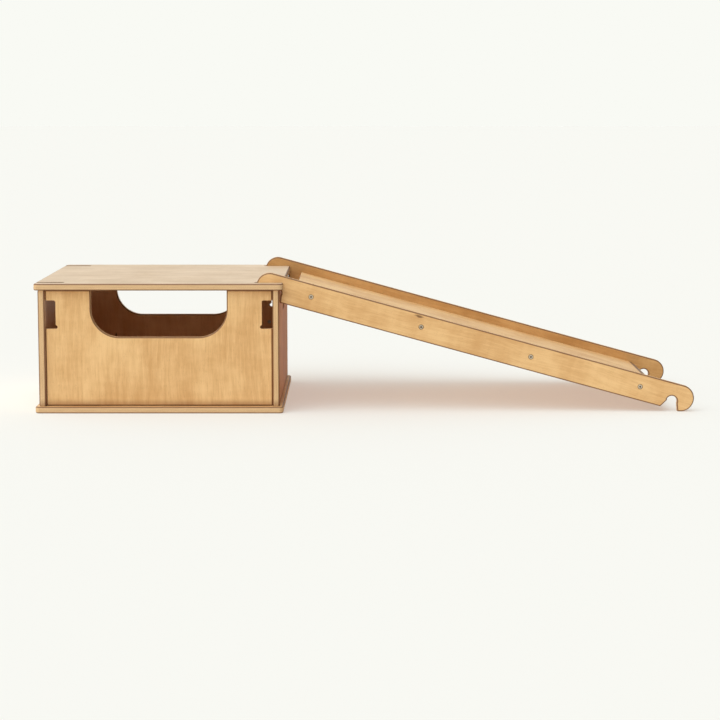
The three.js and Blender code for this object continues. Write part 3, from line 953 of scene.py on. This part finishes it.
def bolt_tree():
    """Connector bolt: flat chamfered head with a hexagon socket, and its shank."""
    names = ("Head", "Head Depth", "Edge", "Key", "Key Depth", "Shank", "Length")
    bench = ShapeBench("Connector bolt", names)
    head, depth, edge, key, key_depth, shank, size = (bench.inputs[n] for n in names)
    flange = bench.lathe([(head - edge, 0.0), (head, edge), (head, depth)])
    sunk = edge * 0.45
    ring = bench.lathe([(head * 0.62, edge * -1), (head * 0.62, sunk)])
    socket = bench.lathe([(key, edge * -2), (key, key_depth)], sides=6)
    # Marks the socket's faces so that the steel's finish paints shade in them.
    socket = bench.value(
        "GeometryNodeStoreNamedAttribute", {"data_type": "FLOAT", "domain": "FACE"},
        {"Geometry": socket, "Name": "recess", "Value": 1.0},
    )
    flange = bench.less(bench.less(flange, [ring]), [socket])
    rod = bench.lathe([(shank, depth * 0.98), (shank, size - edge), (shank - edge, size)])
    return bench.spread(bench.value("GeometryNodeJoinGeometry", None, {0: [flange, rod]}))


def nut_tree():
    """Barrel nut: a chamfered cylinder with a slot in its end and a cross hole for the bolt."""
    names = ("Radius", "Length", "Slot", "Bore")
    bench = ShapeBench("Barrel nut", names)
    radius, size, slot, bore = (bench.inputs[n] for n in names)
    edge = slot * 0.4
    barrel = bench.lathe([(radius - edge, 0.0), (radius, edge), (radius, size)])
    groove = bench.moved(bench.bar(radius * 3, slot, slot * 2), 0.0)
    hole = bench.lathe([(bore, radius * -2), (bore, radius * 2)])
    across = bench.value(
        "GeometryNodeTransform", None,
        {"Geometry": hole, "Rotation": (math.pi / 2, 0, 0)},
    )
    barrel = bench.less(barrel, [groove])
    return bench.spread(bench.less(barrel, [bench.moved(across, size * 0.52)]))


def screw_tree():
    """Countersunk screw: a cross recess in its head, a shank and a point."""
    names = ("Head", "Shank", "Length", "Tip", "Cross")
    bench = ShapeBench("Countersunk screw", names)
    head, shank, size, tip, cross = (bench.inputs[n] for n in names)
    taper = head - shank
    profile = [(head, 0.0), (shank, taper), (shank, size - tip), (shank * 0.2, size)]
    body = bench.lathe(profile)
    blades = [
        bench.bar(cross * 2, cross * 0.42, taper * 1.5),
        bench.bar(cross * 0.42, cross * 2, taper * 1.5),
    ]
    return bench.spread(bench.less(bench.less(body, blades[:1]), blades[1:]))


def own_sizes(sizes, kind, labels):
    """A kind's sizes by the names of its tree's inputs."""
    keys = {label: label.lower().replace(" ", "_") for label in labels}
    return {label: getattr(sizes, f"{kind}_{key}") for label, key in keys.items()}


def place_fastenings(name, kind, body, tree, values, material, settings):
    """One plain mesh of every fastening of a kind, in the place of their CAD nodes."""
    group = fastenings()[kind]
    by_size = {}
    for f in group:
        by_size.setdefault(round(size_of(f, kind, settings), 4), []).append(f)
    if len(by_size) != 1:
        raise RuntimeError(f"{kind}: more than one length, {sorted(by_size)}")
    size = next(iter(by_size))
    points = bpy.data.meshes.new(name)
    points.from_pydata([f.start(size) for f in group], [], [])
    ways = points.attributes.new("way", "FLOAT_VECTOR", "POINT")
    for one, f in zip(ways.data, group):
        one.vector = f.way
    source = show(name + "_places", points)
    modifier = source.modifiers.new(name, "NODES")
    modifier.node_group = tree
    values = {"Length": size, "Seed": 4, "Finish": material, **values}
    for socket in tree.interface.items_tree:
        if socket.in_out == "INPUT" and socket.name in values:
            modifier[socket.identifier] = values[socket.name]
    mesh = settled(source, name)
    mesh.set_sharp_from_angle(angle=STEEL_CREASE)
    if not mesh.polygons:
        raise RuntimeError(f"{name}: the tree made nothing")
    piece = show(name, mesh)
    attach(piece, body)
    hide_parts(*[f.node for f in group])


# ---- Operators ----


def flat_place(node, axis):
    """A panel's middle, its half size along the two other axes, and its thickness."""
    low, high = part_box(node)
    return (low + high) / 2, (high - low) / 2, (high - low)[axis]


class SLIDE_OT_plates(bpy.types.Operator):
    """Builds the base plate and the slotted top plate"""

    bl_idname = "slide.plates"
    bl_label = "Base and top plates"

    def execute(self, context):
        s = context.scene.toddler_slide
        rail_y = sum(v.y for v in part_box("back_rail")) / 2
        for name, node, seed in (("base_plate", "base_panel", 1), ("top_plate", "top_panel", 2)):
            centre, half, thickness = flat_place(node, 2)
            outline = plate_outline(half.x, s.panels.plate_corner)
            slots = []
            if node == "top_panel":
                for y in (-rail_y, rail_y):
                    slot = slot_outline(half.x, y, s.panels.slot_width, s.panels.slot_length)
                    slots.append((slot, centre, X, Y, thickness))
                    slots.append((slot, centre, -X, Y, thickness))
            mesh = sheet_mesh(name, outline, thickness, s.panels.edge_round)
            mesh = stand(mesh, centre, X, Y)
            mesh = drilled(name, mesh, *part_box(node), s.fastenings, slots)
            # The top plate's upper face takes the paler pair: painted sheen.
            tones = "deck" if slots else "face"
            look = plywood(f"{name}_plywood", s.finish, centre, X, Z, thickness, seed, tones)
            finish_piece(name, mesh, look, "box", node)
        return {"FINISHED"}


class SLIDE_OT_long_walls(bpy.types.Operator):
    """Builds the front and back walls with their crawl openings and rail notches"""

    bl_idname = "slide.long_walls"
    bl_label = "Front and back walls"

    def execute(self, context):
        s = context.scene.toddler_slide
        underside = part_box("top_panel")[0].z
        for name, node, seed, tones in (
            ("front_wall", "front_panel", 3, "face"),
            # Its inner face takes the lighter pair: painted fill light.
            ("back_wall", "back_panel", 4, "rosy"),
        ):
            centre, half, thickness = flat_place(node, 1)
            low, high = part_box(node)
            outline = long_wall_outline(half.x, low.z, high.z, underside, s.panels)
            floor = Vector((centre.x, centre.y, 0))
            notch = notch_outline(half.x, underside, s.panels)
            notches = [(notch, floor, way, Z, thickness) for way in (X, -X)]
            mesh = sheet_mesh(name, outline, thickness, s.panels.edge_round)
            mesh = stand(mesh, floor, X, Z)
            mesh = drilled(name, mesh, low, high, s.fastenings, notches)
            more = (thickness, seed, tones, low.z)
            look = plywood(f"{name}_plywood", s.finish, centre, Z, -Y, *more)
            finish_piece(name, mesh, look, "box", node)
        return {"FINISHED"}


class SLIDE_OT_end_walls(bpy.types.Operator):
    """Builds the left and right end walls with their hand-holds"""

    bl_idname = "slide.end_walls"
    bl_label = "End walls"

    def execute(self, context):
        s = context.scene.toddler_slide
        for name, node, seed, tones in (
            # Its inner face takes the lighter pair: painted fill light.
            ("left_end_wall", "left_end_panel", 5, "rosy"),
            # Its outer face takes the darker, redder pair: painted shade.
            ("right_end_wall", "right_end_panel", 6, "red"),
        ):
            centre, half, thickness = flat_place(node, 0)
            low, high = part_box(node)
            outline = end_wall_outline(half.y, low.z, high.z)
            grip = grip_outline(s.panels)
            mesh = sheet_mesh(name, outline, thickness, s.panels.edge_round, [grip])
            mesh = stand(mesh, Vector((centre.x, centre.y, 0)), Y, Z)
            mesh = drilled(name, mesh, low, high, s.fastenings)
            more = (thickness, seed, tones, low.z)
            look = plywood(f"{name}_plywood", s.finish, centre, Z, X, *more)
            finish_piece(name, mesh, look, "box", node)
        return {"FINISHED"}


class SLIDE_OT_battens(bpy.types.Operator):
    """Builds the two battens under the top plate"""

    bl_idname = "slide.battens"
    bl_label = "Battens"

    def execute(self, context):
        s = context.scene.toddler_slide
        for side, seed in (("left", 7), ("right", 8)):
            node = f"{side}_top_cleat"
            low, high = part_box(node)
            centre, half, section = flat_place(node, 0)
            outline = [(half.x, -half.z), (half.x, half.z), (-half.x, half.z), (-half.x, -half.z)]
            name = f"{side}_batten"
            mesh = sheet_mesh(name, outline, 2 * half.y, section * 0.06)
            mesh = stand(mesh, centre, X, Z)
            mesh = drilled(name, mesh, low, high, s.fastenings)
            look = solid_birch(f"{name}_birch", s.finish, centre, Y, Z, seed)
            finish_piece(name, mesh, look, "box", node)
        return {"FINISHED"}


class SLIDE_OT_rails(bpy.types.Operator):
    """Builds the ramp's side rails with their noses and hook notches"""

    bl_idname = "slide.rails"
    bl_label = "Side rails"

    def execute(self, context):
        s = context.scene.toddler_slide
        ramp = Ramp()
        outline = rail_outline(ramp, s.ramp)
        for name, node, seed, tones in (
            ("front_side_rail", "front_rail", 9, "face"),
            # Its inner face takes the darker pair: painted shade.
            ("back_side_rail", "back_rail", 10, "brown"),
        ):
            low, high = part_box(node)
            centre = (low + high) / 2
            thickness = high.y - low.y
            mesh = sheet_mesh(name, outline, thickness, s.panels.edge_round)
            mesh = stand(mesh, Vector((ramp.nose.x, centre.y, ramp.nose.z)), ramp.along, ramp.up)
            mesh = drilled(name, mesh, low, high, s.fastenings)
            axes = (ramp.along, -Y)
            look = plywood(f"{name}_plywood", s.finish, centre, *axes, thickness, seed, tones)
            finish_piece(name, mesh, look, "ramp", node)
        return {"FINISHED"}


class SLIDE_OT_board(bpy.types.Operator):
    """Builds the sliding board with its rolled lower end"""

    bl_idname = "slide.board"
    bl_label = "Sliding board"

    def execute(self, context):
        s = context.scene.toddler_slide
        ramp = Ramp()
        low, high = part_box("slide_board")
        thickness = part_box("top_panel")[1].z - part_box("top_panel")[0].z
        outline = board_outline(ramp, s.ramp, thickness)
        mesh = sheet_mesh("sliding_board", outline, high.y - low.y, s.ramp.board_ease / 2)
        mesh = stand(mesh, ramp.nose, ramp.along, ramp.up)
        mesh = drilled("sliding_board", mesh, low, high, s.fastenings)
        middle = s.ramp.rail_height / 2 - s.ramp.board_below - thickness / 2
        centre = ramp.nose + ramp.along * ramp.length / 2 + ramp.up * middle
        look = plywood("board_plywood", s.finish, centre, ramp.along, ramp.up, thickness, 11)
        finish_piece("sliding_board", mesh, look, "ramp", "slide_board")
        return {"FINISHED"}


class SLIDE_OT_bolts(bpy.types.Operator):
    """Places the connector bolts of the ramp and of the box's corners"""

    bl_idname = "slide.bolts"
    bl_label = "Connector bolts"

    def execute(self, context):
        s = context.scene.toddler_slide
        f = s.fastenings
        steel = plated_steel("bolt_steel", s.finish.bolt, s.finish.glue, 0.34)
        values = own_sizes(f, "bolt", ("Head", "Head Depth", "Edge", "Key", "Key Depth", "Shank"))
        tree = bolt_tree()
        for name, kind, body in (
            ("ramp_bolts", "ramp_bolt", "ramp"),
            ("corner_bolts", "corner_bolt", "box"),
        ):
            place_fastenings(name, kind, body, tree, values, steel, f)
        return {"FINISHED"}


class SLIDE_OT_nuts(bpy.types.Operator):
    """Places the barrel nuts that the bolts draw up to"""

    bl_idname = "slide.nuts"
    bl_label = "Barrel nuts"

    def execute(self, context):
        s = context.scene.toddler_slide
        f = s.fastenings
        zinc = plated_steel("nut_zinc", s.finish.zinc, s.finish.knot, 0.42)
        values = {"Radius": f.nut, "Slot": f.nut_slot, "Bore": f.bolt_shank + f.slack}
        tree = nut_tree()
        for name, kind, body in (
            ("ramp_nuts", "ramp_nut", "ramp"),
            ("corner_nuts", "corner_nut", "box"),
        ):
            place_fastenings(name, kind, body, tree, values, zinc, f)
        return {"FINISHED"}


class SLIDE_OT_screws(bpy.types.Operator):
    """Places the screws of the base and the battens"""

    bl_idname = "slide.screws"
    bl_label = "Screws"

    def execute(self, context):
        s = context.scene.toddler_slide
        f = s.fastenings
        zinc = plated_steel("screw_zinc", s.finish.zinc, s.finish.knot, 0.46)
        values = own_sizes(f, "screw", ("Head", "Shank", "Tip", "Cross"))
        tree = screw_tree()
        for name, kind in (("base_screws", "base_screw"), ("batten_screws", "cleat_screw")):
            place_fastenings(name, kind, "box", tree, values, zinc, f)
        return {"FINISHED"}


class SLIDE_OT_studio(bpy.types.Operator):
    """Sets up the pale floor, the soft light and the camera"""

    bl_idname = "slide.studio"
    bl_label = "Studio"

    def execute(self, context):
        studio = context.scene.toddler_slide.studio
        low, high = (Vector(v) for v in CAD_BOX)
        self.lay_floor(studio)
        self.light(context.scene, studio)
        camera = bpy.data.objects.new("camera", bpy.data.cameras.new("camera"))
        context.scene.collection.objects.link(camera)
        camera.data.lens = studio.lens
        camera.data.clip_end = 200
        camera.location = (
            (low.x + high.x) / 2 + studio.camera_side,
            low.y - studio.camera_back,
            studio.camera_up,
        )
        camera.rotation_euler = (math.pi / 2 - studio.camera_tilt, 0, 0)
        context.scene.camera = camera
        context.scene.view_settings.view_transform = "Standard"
        return {"FINISHED"}

    def lay_floor(self, studio):
        reach = FLOOR_REACH
        mesh = bpy.data.meshes.new("studio_floor")
        corners = [(-reach, -reach, 0), (reach, -reach, 0), (reach, reach, 0), (-reach, reach, 0)]
        mesh.from_pydata(corners, [], [(0, 1, 2, 3)])
        mesh.materials.append(studio_floor("studio_floor", studio.floor, studio.floor_glow))
        show("studio_floor", mesh)

    def light(self, scene, studio):
        world = bpy.data.worlds.new("surround")
        scene.world = world
        world.use_nodes = True
        bench = Bench(world.node_tree)
        way = bench.value("ShaderNodeTexCoord", None, None, "Generated")
        rightward, backward, _ = bench.parts(way)
        lost = rightward.step(0.1, 0.7) * studio.right_dimming
        forward = 0 - backward
        lost = lost + forward.step(0.0, 0.9) * studio.front_dimming
        seen = bench.value("ShaderNodeLightPath", None, None, "Is Camera Ray")
        sockets = {"Color": studio.sky, "Strength": 1 - (lost * (1 - seen)).step(0, 1)}
        glow = bench.value("ShaderNodeBackground", None, sockets)
        bench.node("ShaderNodeOutputWorld", None, {"Surface": glow})
        lamp = bpy.data.objects.new("soft_lamp", bpy.data.lights.new("soft_lamp", "SUN"))
        scene.collection.objects.link(lamp)
        lamp.data.energy = studio.lamp_strength
        lamp.data.angle = studio.lamp_spread
        lamp.rotation_euler = Vector(LAMP_WAY).to_track_quat("Z", "Y").to_euler()


STEPS = (
    SLIDE_OT_plates,
    SLIDE_OT_long_walls,
    SLIDE_OT_end_walls,
    SLIDE_OT_battens,
    SLIDE_OT_rails,
    SLIDE_OT_board,
    SLIDE_OT_bolts,
    SLIDE_OT_nuts,
    SLIDE_OT_screws,
    SLIDE_OT_studio,
)


class SLIDE_PT_pieces(bpy.types.Panel):
    """Lists the slide's pieces and their sizes"""

    bl_label = "Toddler slide"
    bl_space_type = "VIEW_3D"
    bl_region_type = "UI"
    bl_category = "Slide"

    def draw(self, context):
        settings = context.scene.toddler_slide
        column = self.layout.column(align=True)
        for step in STEPS:
            column.operator(step.bl_idname)
        for group in ("panels", "ramp", "fastenings", "finish", "studio"):
            box = self.layout.box()
            box.label(text=group.title())
            values = getattr(settings, group)
            for name in values.bl_rna.properties.keys():
                if name not in ("name", "rna_type"):
                    box.prop(values, name)


GROUPS = (PanelSizes, RampSizes, FasteningSizes, FinishColours, StudioSettings, SlideSettings)


def register():
    for kind in (*GROUPS, *STEPS, SLIDE_PT_pieces):
        bpy.utils.register_class(kind)
    bpy.types.Scene.toddler_slide = PointerProperty(type=SlideSettings)


def unregister():
    del bpy.types.Scene.toddler_slide
    for kind in reversed((*GROUPS, *STEPS, SLIDE_PT_pieces)):
        bpy.utils.unregister_class(kind)


def main():
    register()
    for step in STEPS:
        group, name = step.bl_idname.split(".")
        getattr(getattr(bpy.ops, group), name)()


if __name__ == "__main__":
    main()
